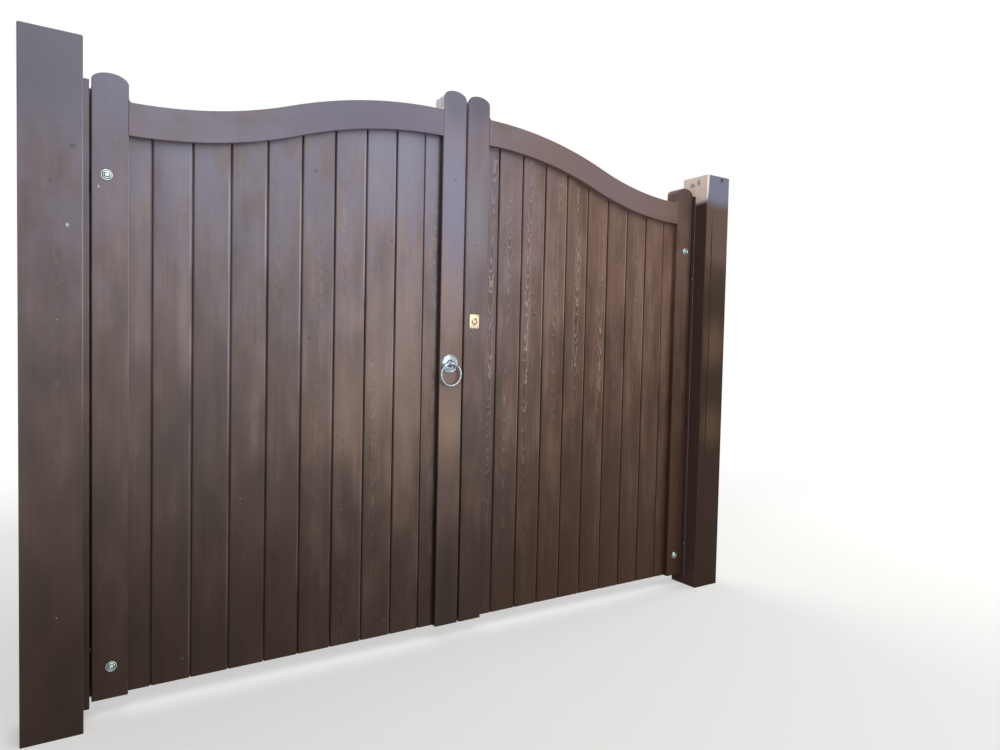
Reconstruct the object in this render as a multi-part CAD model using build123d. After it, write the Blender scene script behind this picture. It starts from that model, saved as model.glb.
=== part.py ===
from build123d import *
import math
import os

# A pair of boarded timber driveway gates with swan-neck top rails, hung
# between two square posts. Millimetres, +Z up, +X from the left post to the
# right post, +Y away from the driveway. The origin is the middle of the left
# post's foot.

# Posts and the packing strips on their inner faces
post_width = 150
post_height = 1943
post_arris = 3
packer_thickness = 16.9
packer_setback = 5
packer_foot = 35
packer_height = 1814

# Leaves and the gaps around them
leaf_width = 1219
leaf_foot = 55
leaf_setback = 68
hinge_gap = 5.1
meeting_gap = 8

# Stiles
stile_width = 95
stile_thickness = 70
stile_arris = 2
crown_rise = 27
hinge_stile_stand = 73
meeting_stile_stand = 77

# Swan-neck top rail, from its low end at the hinge stile to its high end
rail_depth = 95
neck_height = 1750
neck_rise = 184
hollow_run = 463
horn_radius = 10

# Boards, seated in grooves of the stiles and of the top rail
board_cover = 113
board_thickness = 20
board_recess = 24
board_seat = 12
board_play = 1
v_joint_width = 6
v_joint_depth = 4

# Ledges and braces behind the boards
ledge_depth = 145
bottom_ledge_height = 95
middle_ledge_height = 845
upper_ledge_drop = 50
brace_width = 95

# Band-and-hook hinges, one at the bottom ledge and one at the upper ledge
pin_diameter = 16
pin_clearance = 0.1
pin_inset = 20
pin_stand = 4
eye_wall = 6
eye_lift = 0.4
band_depth = 50
band_tip_depth = 38
band_length = 480
band_hole = 10.5
band_holes = 4
band_hole_margin = 46
upper_bolt_inset = 38
lower_bolt_inset = 50
hook_plate_width = 90
hook_plate_height = 110
hook_plate_thickness = 6
hook_plate_setback = 10
hook_arm_height = 18
hook_arm_length = 26
hook_arm_wall = 4
hook_hole = 11
hook_hole_margin = 17

# Cover strips on the back of each post, which close the gap beside the leaf
cover_thickness = 6
cover_reach = 7
cover_play = 1
cover_hinge_clearance = 6

# Ring handle on the left leaf's meeting stile
handle_height = 998
handle_inset = 53
rose_diameter = 68
rose_thickness = 6
rose_rim = 2.5
rose_dome = 0.68
spindle_diameter = 12
spindle_clearance = 0.1
spindle_bore = 14
knob_diameter = 17
ring_stand = 13
ring_diameter = 91
ring_wire = 8
ring_hole_clearance = 1.2
back_rose_diameter = 44
back_rose_thickness = 4
lifter_length = 40
lifter_width = 18
lifter_thickness = 6
spindle_tail = 6

# Rim lock on the right leaf's meeting stile
lock_height = 1160
lock_inset = 42
lock_plate_width = 42
lock_plate_height = 55
lock_plate_thickness = 2
cylinder_diameter = 29
cylinder_reach = 5
cylinder_chamfer = 1.5
cylinder_bore = 31
keyway_height = 9
keyway_width = 2.2
keyway_depth = 3
lock_case_width = 72
lock_case_height = 78
lock_case_depth = 26
lock_case_round = 3
lock_case_margin = 4
keep_width = 26
keep_wall = 3

# Drop bolt on the back of the right leaf's meeting stile
drop_bolt_foot = 15
drop_bolt_inset = 47
drop_rod_diameter = 16
drop_rod_length = 560
drop_rod_clearance = 0.3
drop_rod_point = 3
drop_plate_width = 52
drop_plate_height = 330
drop_plate_lift = 60
drop_plate_thickness = 4
drop_strap_height = 34
drop_strap_wall = 4
drop_grip_diameter = 12
drop_grip_length = 48

# Places worked out from the sizes above
post_half = post_width / 2
leaf_start = post_half + packer_thickness + hinge_gap
leaf_front = leaf_setback - post_half
leaf_back = leaf_front + stile_thickness
leaf_end = leaf_start + leaf_width
centre_line = leaf_end + meeting_gap / 2
right_post_centre = 2 * centre_line
opening_start = leaf_start + stile_width
opening_end = leaf_end - stile_width
opening_width = opening_end - opening_start
board_front = leaf_front + board_recess
board_back = board_front + board_thickness

neck_angle = 2 * math.atan2(neck_rise, opening_width)
hollow_radius = hollow_run / math.sin(neck_angle)
crest_radius = (opening_width - hollow_run) / math.sin(neck_angle)
low_z = leaf_foot + neck_height
high_z = low_z + neck_rise
hollow_centre = (opening_start, low_z + hollow_radius)
crest_centre = (opening_end, high_z - crest_radius)

eye_radius = pin_diameter / 2 + pin_clearance + eye_wall
pin_x = post_half + pin_inset
pin_y = leaf_back + eye_radius
band_thickness = eye_wall
upper_ledge_height = neck_height - rail_depth - upper_ledge_drop - ledge_depth / 2
lower_band_z = leaf_foot + bottom_ledge_height
upper_band_z = leaf_foot + upper_ledge_height

hook_plate_end = post_half - hook_plate_setback
hook_plate_start = hook_plate_end - hook_plate_width
handle_x = leaf_end - handle_inset
handle_z = leaf_foot + handle_height
ring_radius = (ring_diameter - ring_wire) / 2
ring_hole_radius = ring_wire / 2 + ring_hole_clearance
ring_y = leaf_front - ring_stand
lock_x = centre_line + meeting_gap / 2 + lock_inset
lock_z = leaf_foot + lock_height
drop_x = centre_line + meeting_gap / 2 + drop_bolt_inset
drop_y = leaf_back + drop_plate_thickness + drop_rod_clearance + drop_rod_diameter / 2
drop_z = leaf_foot + drop_bolt_foot
full_boards = int(opening_width // board_cover) - 1
part_board = (opening_width - full_boards * board_cover) / 2


def block(x0, x1, y0, y1, z0, z1):
    """A plain block between two corners."""
    size = Box(x1 - x0, y1 - y0, z1 - z0, align=(Align.MIN, Align.MIN, Align.MIN))
    return Pos(x0, y0, z0) * size


def upright(radius, x, y, z0, z1):
    """A vertical cylinder."""
    size = Cylinder(radius, z1 - z0, align=(Align.CENTER, Align.CENTER, Align.MIN))
    return Pos(x, y, z0) * size


def through(radius, x, z, y0, y1):
    """A cylinder along Y."""
    size = Cylinder(radius, y1 - y0, align=(Align.CENTER, Align.CENTER, Align.MIN))
    return Pos(x, y0, z) * Rot(-90, 0, 0) * size


def elevation(face, y0, y1):
    """An outline drawn in X and Z, as a solid from y0 to y1."""
    drawn = Plane(origin=(0, y0, 0), x_dir=(1, 0, 0), z_dir=(0, -1, 0)) * face
    return extrude(drawn, amount=y1 - y0, dir=(0, 1, 0))


def mirrored(solid):
    """The same piece on the other side of the centre line."""
    return mirror(solid, about=Plane.YZ.offset(centre_line))


def on_neck(drop, share):
    """A point on the swan-neck line, drop below the rail's upper edge.

    share runs from 0 at the low end, through 1 at the bend, to 2 at the crest.
    The two arcs keep their centres, so parallels stay equally far apart.
    """
    if share <= 1:
        angle = neck_angle * share
        radius = hollow_radius + drop
        return (
            hollow_centre[0] + radius * math.sin(angle),
            hollow_centre[1] - radius * math.cos(angle),
        )
    angle = neck_angle * (2 - share)
    radius = crest_radius - drop
    return (
        crest_centre[0] - radius * math.sin(angle),
        crest_centre[1] + radius * math.cos(angle),
    )


def neck_edges(drop, reach):
    """The swan-neck line at one drop, with level ends that reach into the stiles."""
    low_end = on_neck(drop, 0)
    high_end = on_neck(drop, 2)
    edges = [
        ThreePointArc(low_end, on_neck(drop, 0.5), on_neck(drop, 1)),
        ThreePointArc(on_neck(drop, 1), on_neck(drop, 1.5), high_end),
    ]
    if reach > 0:
        edges.insert(0, Line((low_end[0] - reach, low_end[1]), low_end))
        edges.append(Line(high_end, (high_end[0] + reach, high_end[1])))
    return edges


def neck_strip(top_drop, foot_drop, reach):
    """The outline between two parallels of the swan-neck line."""
    low_x = opening_start - reach
    high_x = opening_end + reach
    top = neck_edges(top_drop, reach)
    foot = neck_edges(foot_drop, reach)
    low_side = Line((low_x, on_neck(top_drop, 0)[1]), (low_x, on_neck(foot_drop, 0)[1]))
    high_side = Line((high_x, on_neck(top_drop, 2)[1]), (high_x, on_neck(foot_drop, 2)[1]))
    return make_face(top + foot + [low_side, high_side])


def make_post(x):
    """A square post with its arrises taken off."""
    post = block(x - post_half, x + post_half, -post_half, post_half, 0, post_height)
    top = post.faces().sort_by(Axis.Z)[-1]
    edges = post.edges().filter_by(Axis.Z) + top.edges()
    return chamfer(edges, post_arris)


def make_packer():
    """The strip that packs out the left post's inner face."""
    start = post_half
    end = post_half + packer_thickness
    top = packer_foot + packer_height
    strip = block(start, end, leaf_front, leaf_back - packer_setback, packer_foot, top)
    outer = strip.edges().filter_by(Axis.Z).group_by(Axis.X)[-1]
    return chamfer(outer, stile_arris)


def make_stile(start, top, grooved_end, groove_top):
    """A stile with a crowned head and a groove for the boards' edge."""
    end = start + stile_width
    middle = start + stile_width / 2
    spring = top - crown_rise
    outline = make_face([
        Line((start, spring), (start, leaf_foot)),
        Line((start, leaf_foot), (end, leaf_foot)),
        Line((end, leaf_foot), (end, spring)),
        EllipticalCenterArc(
            (middle, spring), stile_width / 2, crown_rise, start_angle=0, arc_size=180
        ),
    ])
    stile = elevation(outline, leaf_front, leaf_back)
    front = stile.faces().sort_by(Axis.Y)[0]
    back = stile.faces().sort_by(Axis.Y)[-1]
    edges = [e for e in front.edges() + back.edges() if e.center().Z > leaf_foot + 1]
    stile = chamfer(edges, stile_arris)
    if grooved_end:
        groove = (end - board_seat, end)
    else:
        groove = (start, start + board_seat)
    return stile - block(*groove, board_front, board_back, leaf_foot, groove_top)


def make_hinge_stile():
    """The left leaf's low stile, beside the post."""
    groove_top = on_neck(rail_depth, 0)[1] + board_seat
    return make_stile(leaf_start, low_z + hinge_stile_stand, True, groove_top)


def make_meeting_stile():
    """The left leaf's tall stile, in the middle of the gateway."""
    groove_top = on_neck(rail_depth, 2)[1] + board_seat
    return make_stile(opening_end, high_z + meeting_stile_stand, False, groove_top)


def make_horn(x, z, side):
    """The small hollow that carries the rail's top edge up to a stile."""
    root = (x, z - horn_radius)
    below = (x + side * horn_radius, z - horn_radius)
    along = (x + side * horn_radius, z)
    up = (x, z + horn_radius)
    reach = horn_radius * (1 - math.sqrt(0.5))
    hollow = ThreePointArc(along, (x + side * reach, z + reach), up)
    outline = make_face([Line(root, below), Line(below, along), hollow, Line(up, root)])
    return elevation(outline, leaf_front, leaf_back)


def make_top_rail():
    """The swan-neck rail, with a groove below for the boards."""
    rail = elevation(neck_strip(0, rail_depth, 0), leaf_front, leaf_back)
    groove = neck_strip(rail_depth - board_seat, rail_depth + board_seat, 0)
    rail -= elevation(groove, board_front, board_back)
    rail += make_horn(opening_start, low_z, 1)
    rail += make_horn(opening_end, high_z, -1)
    return rail


def board_joints():
    """Where the boards meet, from the hinge stile on."""
    return [opening_start + part_board + k * board_cover for k in range(full_boards + 1)]


def make_boards():
    """The boarded panel, with a V along each joint of its face."""
    reach = board_seat - board_play
    drop = rail_depth - reach
    low_x = opening_start - reach
    high_x = opening_end + reach
    top = neck_edges(drop, reach)
    low_top = (low_x, on_neck(drop, 0)[1])
    high_top = (high_x, on_neck(drop, 2)[1])
    sides = [
        Line(low_top, (low_x, leaf_foot)),
        Line((low_x, leaf_foot), (high_x, leaf_foot)),
        Line((high_x, leaf_foot), high_top),
    ]
    panel = elevation(make_face(top + sides), board_front, board_back)
    half = v_joint_width / 2
    for x in board_joints():
        notch = make_face(Polyline(
            (x - half, board_front), (x, board_front + v_joint_depth), (x + half, board_front),
            (x, board_front - v_joint_depth), close=True,
        ))
        panel -= Pos(0, 0, leaf_foot) * extrude(notch, amount=post_height, dir=(0, 0, 1))
    return panel


def ledge_span(height):
    """The foot and top of a ledge whose middle is at this height on the leaf."""
    middle = leaf_foot + height
    return (middle - ledge_depth / 2, middle + ledge_depth / 2)


def make_ledge(height):
    """A ledge behind the boards, from stile to stile."""
    return block(opening_start, opening_end, board_back, leaf_back, *ledge_span(height))


def make_brace(lower, upper):
    """A brace that rises from the hinge side, fitted between two ledges."""
    foot = ledge_span(lower)[1]
    top = ledge_span(upper)[0]
    rise = top - foot
    bay = make_face(Polyline(
        (opening_start, foot), (opening_end, foot), (opening_end, top), (opening_start, top),
        close=True,
    ))
    slope = math.degrees(math.atan2(rise, opening_width))
    length = 2 * math.hypot(rise, opening_width)
    middle = ((opening_start + opening_end) / 2, (foot + top) / 2)
    bar = Pos(*middle) * Rot(0, 0, slope) * Rectangle(length, brace_width)
    return elevation(bay & bar, board_back, leaf_back)


def make_band(z, bolt_inset):
    """A hinge band: an eye round the pin and a tapered strap along the leaf."""
    foot = z - band_depth / 2
    end = pin_x + band_length - band_tip_depth / 2
    strap = make_face(Polyline(
        (pin_x, foot), (end, z - band_tip_depth / 2), (end, z + band_tip_depth / 2),
        (pin_x, foot + band_depth), close=True,
    ))
    strap += Pos(end, z) * Circle(band_tip_depth / 2)
    band = elevation(strap, leaf_back, leaf_back + band_thickness)
    band += upright(eye_radius, pin_x, pin_y, foot, foot + band_depth)
    band -= upright(pin_diameter / 2 + pin_clearance, pin_x, pin_y, foot, foot + band_depth)
    first_hole = leaf_start + bolt_inset
    pitch = (end - band_hole_margin - first_hole) / (band_holes - 1)
    for k in range(band_holes):
        x = first_hole + k * pitch
        band -= through(band_hole / 2, x, z, leaf_back, leaf_back + band_thickness)
    return band


def make_hook(z):
    """A hinge hook: a plate on the back of the post and an arm with its pin."""
    shelf = z - band_depth / 2 - eye_lift
    arm_foot = shelf - hook_arm_height
    arm_middle = shelf - hook_arm_height / 2
    plate_back = post_half + hook_plate_thickness
    plate_foot = arm_middle - hook_plate_height / 2
    plate_top = plate_foot + hook_plate_height
    hook = block(hook_plate_start, hook_plate_end, post_half, plate_back, plate_foot, plate_top)
    arm_radius = pin_diameter / 2 + hook_arm_wall
    arm_start = hook_plate_end - hook_arm_length
    hook += block(arm_start, pin_x, post_half, pin_y + arm_radius, arm_foot, shelf)
    hook += upright(arm_radius, pin_x, pin_y, arm_foot, shelf)
    pin_top = z + band_depth / 2 + pin_stand
    hook += upright(pin_diameter / 2, pin_x, pin_y, arm_foot, pin_top)
    for x in (hook_plate_start + hook_hole_margin, arm_start - hook_hole_margin):
        for hole_z in (plate_foot + hook_hole_margin, plate_top - hook_hole_margin):
            hook -= through(hook_hole / 2, x, hole_z, post_half, plate_back)
    return hook


def make_cover(foot, top):
    """A strip on the back of the post that covers the hinge gap from behind."""
    start = hook_plate_end + cover_play
    end = pin_x + cover_reach
    return block(start, end, post_half, post_half + cover_thickness, foot, top)


def cover_spans():
    """The foot and top of the strips below, between and above the hinges."""
    gaps = []
    for z in (lower_band_z, upper_band_z):
        foot = z - band_depth / 2 - eye_lift - hook_arm_height - cover_play
        gaps.append((foot, z + band_depth / 2 + cover_hinge_clearance))
    top = packer_foot + packer_height
    return [(packer_foot, gaps[0][0]), (gaps[0][1], gaps[1][0]), (gaps[1][1], top)]


def turned(profile, y):
    """A profile of radius and distance, turned about the handle's axis."""
    round_piece = revolve(Plane.XY * make_face(profile), Axis.Y, 360)
    return Pos(handle_x, y, handle_z) * round_piece


def make_rose():
    """The handle's round rose, domed towards the spindle."""
    bore = spindle_diameter / 2 + spindle_clearance
    edge = rose_diameter / 2
    crown = spindle_diameter
    profile = [
        Line((bore, 0), (edge, 0)),
        Line((edge, 0), (edge, -rose_rim)),
        ThreePointArc(
            (edge, -rose_rim),
            ((edge + crown) / 2, -rose_rim - (rose_thickness - rose_rim) * rose_dome),
            (crown, -rose_thickness),
        ),
        Line((crown, -rose_thickness), (bore, -rose_thickness)),
        Line((bore, -rose_thickness), (bore, 0)),
    ]
    return turned(profile, leaf_front)


def make_back_rose():
    """The plain rose behind the stile."""
    outer = through(
        back_rose_diameter / 2, handle_x, handle_z, leaf_back, leaf_back + back_rose_thickness
    )
    bore = spindle_diameter / 2 + spindle_clearance
    return outer - through(bore, handle_x, handle_z, leaf_back, leaf_back + back_rose_thickness)


def make_spindle():
    """The handle's knob, bored for the ring, and its spindle through the stile."""
    lifter_back = leaf_back + back_rose_thickness + spindle_clearance + lifter_thickness
    tail = lifter_back + spindle_tail - ring_y
    knob = knob_diameter / 2
    shaft = spindle_diameter / 2
    neck = math.sqrt(knob**2 - shaft**2)
    profile = [
        ThreePointArc((0, -knob), (knob, 0), (shaft, neck)),
        Line((shaft, neck), (shaft, tail)),
        Line((shaft, tail), (0, tail)),
        Line((0, tail), (0, -knob)),
    ]
    eye = Cylinder(ring_hole_radius, 2 * knob_diameter)
    return turned(profile, ring_y) - Pos(handle_x, ring_y, handle_z) * Rot(0, 90, 0) * eye


def make_lifter():
    """The small arm on the spindle's tail, behind the leaf."""
    start = leaf_back + back_rose_thickness + spindle_clearance
    end = start + lifter_thickness
    half = lifter_width / 2
    outline = Pos(handle_x - lifter_length / 2, handle_z) * Rectangle(lifter_length, lifter_width)
    outline += Pos(handle_x, handle_z) * Circle(half)
    outline += Pos(handle_x - lifter_length, handle_z) * Circle(half)
    lifter = elevation(outline, start, end)
    return lifter - through(spindle_diameter / 2, handle_x, handle_z, start, end)


def make_ring():
    """The ring, hanging from the knob."""
    ring = Rot(90, 0, 0) * Torus(ring_radius, ring_wire / 2)
    return Pos(handle_x, ring_y, handle_z - ring_radius) * ring


def make_lock_plate():
    """The brass plate round the lock's cylinder."""
    back = leaf_front
    front = leaf_front - lock_plate_thickness
    half_width = lock_plate_width / 2
    half_height = lock_plate_height / 2
    plate = block(
        lock_x - half_width, lock_x + half_width, front, back,
        lock_z - half_height, lock_z + half_height,
    )
    return plate - through(cylinder_diameter / 2, lock_x, lock_z, front, back)


def make_cylinder():
    """The lock's cylinder, from its keyway to the case."""
    front = leaf_front - cylinder_reach
    cylinder = through(cylinder_diameter / 2, lock_x, lock_z, front, leaf_back)
    rim = cylinder.edges().filter_by(GeomType.CIRCLE).sort_by(Axis.Y)[0]
    cylinder = chamfer(rim, cylinder_chamfer)
    half_width = keyway_width / 2
    half_height = keyway_height / 2
    return cylinder - block(
        lock_x - half_width, lock_x + half_width, front, front + keyway_depth,
        lock_z - half_height, lock_z + half_height,
    )


def make_lock_case():
    """The lock's case, on the back of the right leaf's meeting stile."""
    start = centre_line + meeting_gap / 2 + lock_case_margin
    half = lock_case_height / 2
    end = start + lock_case_width
    case = block(
        start, end, leaf_back, leaf_back + lock_case_depth, lock_z - half, lock_z + half
    )
    back = case.faces().sort_by(Axis.Y)[-1]
    return fillet(back.edges(), lock_case_round)


def make_lock_keep():
    """The lock's hollow keep, on the back of the left leaf's meeting stile."""
    end = leaf_end - lock_case_margin
    start = end - keep_width
    back = leaf_back + lock_case_depth
    half = lock_case_height / 2
    keep = block(start, end, leaf_back, back, lock_z - half, lock_z + half)
    outer = keep.faces().sort_by(Axis.Y)[-1]
    keep = fillet(outer.edges().group_by(Axis.X)[0], lock_case_round)
    return keep - block(
        start + keep_wall, end, leaf_back, back - keep_wall,
        lock_z - half + keep_wall, lock_z + half - keep_wall,
    )


def drop_strap_spans():
    """The foot and top of each strap that holds the drop bolt."""
    foot = drop_z + drop_plate_lift
    top = foot + drop_plate_height
    return [(foot, foot + drop_strap_height), (top - drop_strap_height, top)]


def make_drop_plate():
    """The drop bolt's plate, with two straps round the rod."""
    foot = drop_z + drop_plate_lift
    front = leaf_back + drop_plate_thickness
    half = drop_plate_width / 2
    plate = block(
        drop_x - half, drop_x + half, leaf_back, front, foot, foot + drop_plate_height
    )
    bore = drop_rod_diameter / 2 + drop_rod_clearance
    outer = bore + drop_strap_wall
    for strap_foot, strap_top in drop_strap_spans():
        plate += block(
            drop_x - outer, drop_x + outer, leaf_back, drop_y, strap_foot, strap_top
        )
        plate += upright(outer, drop_x, drop_y, strap_foot, strap_top)
        plate -= upright(bore, drop_x, drop_y, strap_foot, strap_top)
    return plate


def make_drop_rod():
    """The drop bolt's rod, drawn up, with its grip between the straps."""
    rod = upright(drop_rod_diameter / 2, drop_x, drop_y, drop_z, drop_z + drop_rod_length)
    ends = rod.edges().filter_by(GeomType.CIRCLE)
    rod = chamfer(ends, drop_rod_point)
    grip_z = drop_z + drop_plate_lift + drop_plate_height / 2
    return rod + through(
        drop_grip_diameter / 2, drop_x, grip_z, drop_y, drop_y + drop_grip_length
    )


def make_frame(side):
    """The pieces that both leaves have, for the left leaf or its mirror image."""
    hinge_stile = make_hinge_stile()
    meeting_stile = make_meeting_stile()
    if side == "left":
        meeting_stile -= through(spindle_bore / 2, handle_x, handle_z, leaf_front, leaf_back)
    pieces = {
        "hinge_stile": hinge_stile,
        "meeting_stile": meeting_stile,
        "top_rail": make_top_rail(),
        "boards": make_boards(),
        "bottom_ledge": make_ledge(bottom_ledge_height),
        "middle_ledge": make_ledge(middle_ledge_height),
        "upper_ledge": make_ledge(upper_ledge_height),
        "lower_brace": make_brace(bottom_ledge_height, middle_ledge_height),
        "upper_brace": make_brace(middle_ledge_height, upper_ledge_height),
        "lower_band": make_band(lower_band_z, lower_bolt_inset),
        "upper_band": make_band(upper_band_z, upper_bolt_inset),
        "lower_hook": make_hook(lower_band_z),
        "upper_hook": make_hook(upper_band_z),
        "packer": make_packer(),
    }
    for level, span in zip(("lower", "middle", "upper"), cover_spans()):
        pieces[level + "_cover"] = make_cover(*span)
    if side == "right":
        pieces = {name: mirrored(piece) for name, piece in pieces.items()}
        bore = through(cylinder_bore / 2, lock_x, lock_z, leaf_front, leaf_back)
        pieces["meeting_stile"] -= bore
    return {side + "_" + name: piece for name, piece in pieces.items()}


def make_gate():
    """Every piece of the gate by name."""
    pieces = {
        "left_post": make_post(0),
        "right_post": make_post(right_post_centre),
        "handle_rose": make_rose(),
        "handle_back_rose": make_back_rose(),
        "handle_spindle": make_spindle(),
        "handle_lifter": make_lifter(),
        "handle_ring": make_ring(),
        "lock_plate": make_lock_plate(),
        "lock_cylinder": make_cylinder(),
        "lock_case": make_lock_case(),
        "lock_keep": make_lock_keep(),
        "drop_bolt_plate": make_drop_plate(),
        "drop_bolt_rod": make_drop_rod(),
    }
    pieces.update(make_frame("left"))
    pieces.update(make_frame("right"))
    return pieces


os.makedirs("parts", exist_ok=True)
for name, piece in make_gate().items():
    export_step(piece, "parts/" + name + ".step")
    print(name, round(piece.volume))
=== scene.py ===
# %% [markdown]
# # A pair of swan-neck driveway gates
#
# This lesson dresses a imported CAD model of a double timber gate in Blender.
# The CAD gives every solid its place and its hinge. Blender adds what the eye
# looks for: separate boards, stained grain, bolt heads, screws and bright metal.
# Everything is in metres. X runs along the gateway, Y points away from the
# street and Z points up.

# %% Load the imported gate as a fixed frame
import math

import bmesh
import bpy
from mathutils import Matrix, Vector


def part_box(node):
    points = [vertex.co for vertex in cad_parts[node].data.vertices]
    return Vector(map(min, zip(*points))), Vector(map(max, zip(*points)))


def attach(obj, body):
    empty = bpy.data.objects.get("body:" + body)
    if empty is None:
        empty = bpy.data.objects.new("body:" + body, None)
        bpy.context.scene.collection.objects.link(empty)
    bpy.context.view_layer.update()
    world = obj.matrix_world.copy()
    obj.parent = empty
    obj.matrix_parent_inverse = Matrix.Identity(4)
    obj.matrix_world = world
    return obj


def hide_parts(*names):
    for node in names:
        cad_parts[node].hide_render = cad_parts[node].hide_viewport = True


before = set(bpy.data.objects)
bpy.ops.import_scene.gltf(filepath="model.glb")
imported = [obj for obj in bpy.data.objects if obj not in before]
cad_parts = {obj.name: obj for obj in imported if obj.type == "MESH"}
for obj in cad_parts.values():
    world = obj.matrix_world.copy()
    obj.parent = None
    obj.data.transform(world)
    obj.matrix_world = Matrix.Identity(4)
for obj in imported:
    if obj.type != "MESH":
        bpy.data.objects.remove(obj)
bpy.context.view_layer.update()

print("CAD nodes:", len(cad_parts))

# %% [markdown]
# ## The camera
#
# The gate is seen from the left leaf's hinge side, a little over two metres
# away, turned to the right so that the far post comes into view. A wide lens of
# about 25 mm gives the strong perspective along the leaves. The last turn, about
# the camera's own axis, is the slight tilt of a camera held in the hand.

# %% Place the camera
def show(name, data):
    """Puts a camera, a lamp or a mesh in the scene."""
    made = bpy.data.objects.new(name, data)
    bpy.context.scene.collection.objects.link(made)
    return made


camera_data = bpy.data.cameras.new("street_camera")
camera_data.lens = 25.2
camera_data.sensor_width = 36
camera = show("street_camera", camera_data)
turn_right = math.radians(32.54)
look_up = math.radians(-2.15)
tilt = math.radians(1.23)
camera.matrix_world = (
    Matrix.Translation((0.006, -2.331, 1.113))
    @ Matrix.Rotation(-turn_right, 4, "Z")
    @ Matrix.Rotation(math.pi / 2 + look_up, 4, "X")
    @ Matrix.Rotation(tilt, 4, "Z")
)
bpy.context.scene.camera = camera
bpy.context.scene.view_settings.view_transform = "Standard"
print("camera at", tuple(round(v, 3) for v in camera.matrix_world.translation))

# %% [markdown]
# ## A bench for shader nodes
#
# A material is a small network of nodes. A bench holds one such tree and keeps
# the later cells short: it places a sum, a noise or a blend in one line. An
# input takes either a plain value or another node's output, and the bench tells
# which. A colour is written as its red, green and blue.

# %% Make the bench
class Bench:
    """A node tree, with short ways to place what a finish needs."""

    def __init__(self, tree):
        self.tree = tree

    def fill(self, socket, value):
        """Links an output to a socket, or writes a plain value there."""
        if isinstance(value, bpy.types.NodeSocket):
            self.tree.links.new(value, socket)
        else:
            socket.default_value = (*value, 1) if socket.type == "RGBA" else value

    def fill_all(self, node, inputs):
        """Fills a node's inputs by name or number."""
        for name, value in inputs.items():
            self.fill(node.inputs[name], value)

    def place(self, kind, options=None, inputs=None):
        """Places a node with its options and inputs, and gives back its outputs."""
        made = self.tree.nodes.new("ShaderNode" + kind)
        for name, value in (options or {}).items():
            setattr(made, name, value)
        self.fill_all(made, inputs or {})
        return made.outputs

    def math(self, operation, *values):
        """The result of one Math node."""
        return self.place("Math", {"operation": operation}, dict(enumerate(values)))[0]

    def times(self, value, factor):
        """A value times a factor."""
        return self.math("MULTIPLY", value, factor)

    def times_plus(self, value, factor, rest):
        """A value times a factor, plus the rest."""
        return self.math("MULTIPLY_ADD", value, factor, rest)

    def ramp(self, value, low, high, start=0.0, end=1.0):
        """A value eased from start to end while the input goes from low to high."""
        return self.place("MapRange", {"interpolation_type": "SMOOTHSTEP"}, {
            "Value": value, "From Min": low, "From Max": high, "To Min": start,
            "To Max": end})["Result"]

    def split(self, value):
        """The three parts of a vector or of a colour."""
        if value.type == "VECTOR":
            return self.place("SeparateXYZ", None, {"Vector": value})
        return self.place("SeparateColor", None, {"Color": value})

    def vector(self, operation, inputs):
        """The vector from one Vector Math node."""
        return self.place("VectorMath", {"operation": operation}, inputs)["Vector"]

    def length(self, operation, *values):
        """The length from one Vector Math node."""
        return self.place("VectorMath", {"operation": operation},
                          dict(enumerate(values)))["Value"]

    def noise(self, place, across, along, detail=2.0, softness=0.5, output=0):
        """Noise whose blotches are 1 / across metres wide and 1 / along metres long."""
        scaled = self.vector("MULTIPLY", {0: place, 1: (across, across, along)})
        return self.place("TexNoise", None, {
            "Vector": scaled, "Scale": 1.0, "Detail": detail, "Roughness": softness})[output]

    def blend(self, share, first, second):
        """Two colours mixed by a share."""
        return self.place("Mix", {"data_type": "RGBA"}, {0: share, 6: first, 7: second})[2]

    def bump(self, strength, distance, height):
        """A surface normal leaned by a height."""
        return self.place("Bump", None, {
            "Strength": strength, "Distance": distance, "Height": height})[0]

    def where(self):
        """The place on the whole gate."""
        return self.place("TexCoord")["Object"]

    def mapped(self, inputs):
        """A place measured from another point, turned or scaled."""
        return self.place("Mapping", {"vector_type": "TEXTURE"}, inputs)[0]

    def spot(self, where, centre, radii, core=0.55):
        """A round mask at one place of a surface, full inside its core."""
        local = self.mapped({"Vector": where, "Location": centre, "Scale": radii})
        return self.ramp(self.length("LENGTH", local), core, 1.0, 1.0, 0.0)


def new_group(name, inputs, outputs):
    """A shader node group: its bench, what comes in and what goes out."""
    tree = bpy.data.node_groups.new(name, "ShaderNodeTree")
    for way, sockets in (("INPUT", inputs), ("OUTPUT", outputs)):
        for label, kind in sockets.items():
            tree.interface.new_socket(label, in_out=way, socket_type="NodeSocket" + kind)
    start, end = [tree.nodes.new("NodeGroup" + way) for way in ("Input", "Output")]
    return Bench(tree), start.outputs, end.inputs


def new_material(name):
    """A material, the bench of its tree, and its shader."""
    material = bpy.data.materials.new(name)
    material.use_nodes = True
    return material, Bench(material.node_tree), material.node_tree.nodes["Principled BSDF"]


print("bench ready")

# %% [markdown]
# ## The growth rings of a plank
#
# The gate is softwood. A plank is a slice through a trunk, so its figure comes
# from rings round the heart of the tree. The group below measures how far each
# point lies from that heart, which wanders and tapers along the plank. Where
# the surface cuts the rings at a flat angle the lines close into narrow arches
# that point to the foot, and a ripple breaks some of them into ovals. Elsewhere
# the lines fade out, with no picture of wood anywhere. Place is a point on the
# plank with Z along the grain, and Seed makes each plank another slice.

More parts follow.
